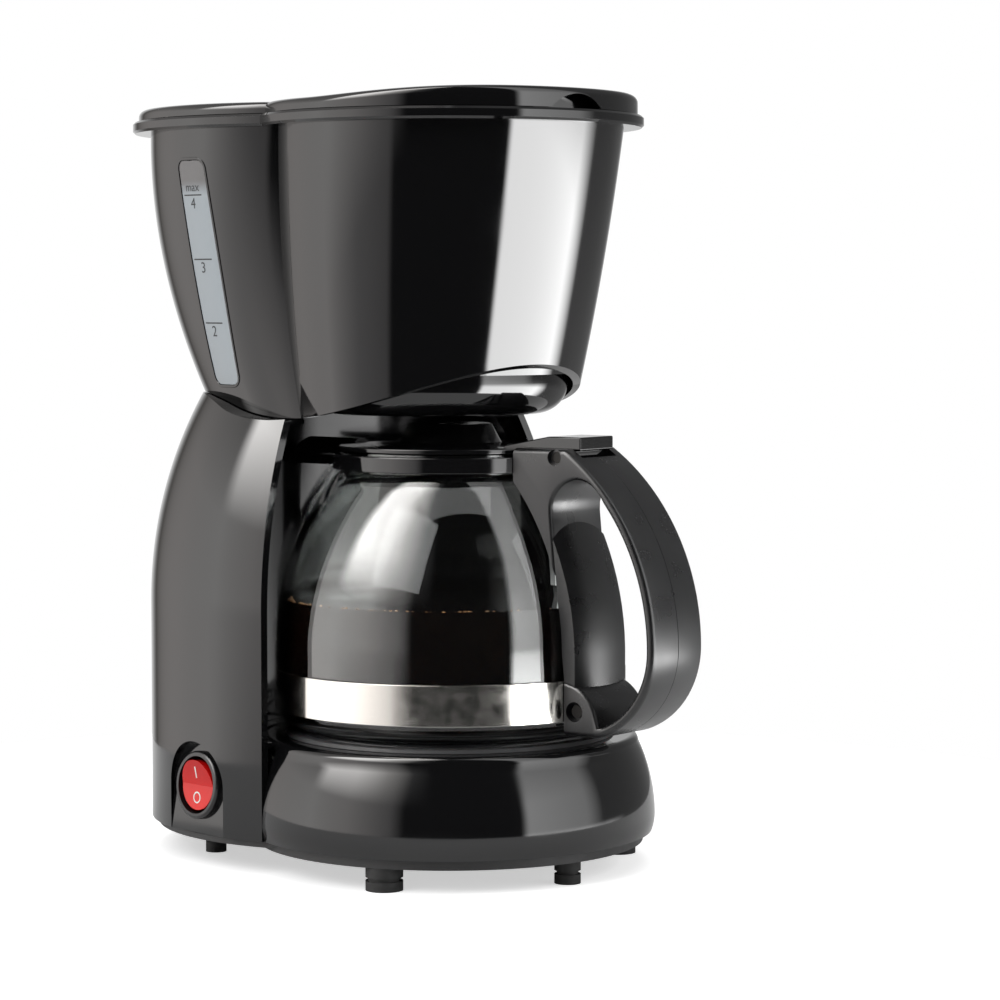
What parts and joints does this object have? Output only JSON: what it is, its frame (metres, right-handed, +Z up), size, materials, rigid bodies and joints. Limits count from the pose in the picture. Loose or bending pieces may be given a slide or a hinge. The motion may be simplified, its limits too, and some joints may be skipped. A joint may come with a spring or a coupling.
{
  "type": "drip coffee maker",
  "caption": "Small upright drip coffee maker: tapered figure-8 water tank and brew chamber on a column, round warming base, glass carafe with hinged lid and loop handle.",
  "frame": {"origin": "On the floor under the middle of the whole machine, carafe handle and lid hinge included.", "axes": "+Z up, -Y the front where the carafe's handle points, +X to the right seen from the front."},
  "size_m": [0.1484, 0.2376, 0.2614],
  "materials": {
    "black_plastic": "polished black ABS",
    "matte_black": "fine matte black",
    "clear_plastic": "clear smoked plastic",
    "glass": "clear borosilicate glass",
    "stainless": "bright stainless sheet",
    "dark_plate": "dark non-stick coating",
    "aluminium": "cast",
    "brass": "plain",
    "black_rubber": "soft matte",
    "silicone": "milky silicone",
    "red_rocker": "red translucent",
    "ceramic_white": "white"
  },
  "bodies": {
    "machine": {"base_shell": "black_plastic", "base_cover": "matte_black", "base_screws": "stainless", "side_feet": "black_rubber", "front_foot": "black_rubber", "rear_feet": "black_rubber", "warming_plate": "dark_plate", "plate_seal": "silicone", "heater_block": "aluminium", "heater_bracket": "stainless", "heater_screw": "stainless", "thermostat": "matte_black", "thermal_fuse": "ceramic_white", "column_shell": "black_plastic", "column_front_panel": "black_plastic", "switch_housing": "matte_black", "switch_terminals": "brass", "cord_gland": "black_rubber", "tank_housing": "black_plastic", "basket_seat": "black_plastic", "level_window": "clear_plastic", "brew_chamber_floor": "black_plastic", "lid_hinge_pin": "stainless", "hose_clamps": "stainless", "tank_outlet": "matte_black", "check_ball": "stainless", "water_spout": "matte_black", "inlet_hose": "silicone", "riser_hose": "silicone"},
    "lid": {"lid": "black_plastic", "lid_spreader": "matte_black"},
    "basket": {"filter_basket": "matte_black", "valve_guide": "matte_black", "valve_spring": "stainless"},
    "drip_valve": {"drip_valve": "matte_black", "valve_seal": "silicone"},
    "rocker": {"switch_rocker": "red_rocker"},
    "carafe": {"glass_jug": "glass", "carafe_band": "stainless", "carafe_collar": "black_plastic", "pouring_hood": "black_plastic", "carafe_handle": "black_plastic", "carafe_hinge_pin": "stainless", "handle_screw": "stainless"},
    "carafe_lid": {"carafe_lid": "black_plastic"}
  },
  "joints": [
    {"name": "lid_hinge", "type": "hinge", "parent": "machine", "child": "lid", "pos_m": [0, 0.11497, 0.25641], "axis": [-1, 0, 0], "range_deg": [0, 95]},
    {"name": "basket_lift", "type": "slide", "parent": "machine", "child": "basket", "axis": [0, 0, 1], "range_m": [0, 0.008]},
    {"name": "drip_valve_stroke", "type": "slide", "parent": "basket", "child": "drip_valve", "axis": [0, 0, 1], "range_m": [0, 0.003], "stiffness_N_per_m": 60, "springref_m": -0.003, "deforming": ["valve_spring"]},
    {"name": "switch_tilt", "type": "hinge", "parent": "machine", "child": "rocker", "pos_m": [-0.0703, 0.02427, 0.02764], "axis": [0, 1, 0], "range_deg": [0, 16]},
    {"name": "carafe_slide", "type": "slide", "parent": "machine", "child": "carafe", "axis": [0, -1, 0], "range_m": [0, 0.2]},
    {"name": "carafe_lid_hinge", "type": "hinge", "parent": "carafe", "child": "carafe_lid", "pos_m": [0.01042, -0.07713, 0.14081], "axis": [0.9816, 0.1908, 0], "range_deg": [0, 2.5]}
  ]
}
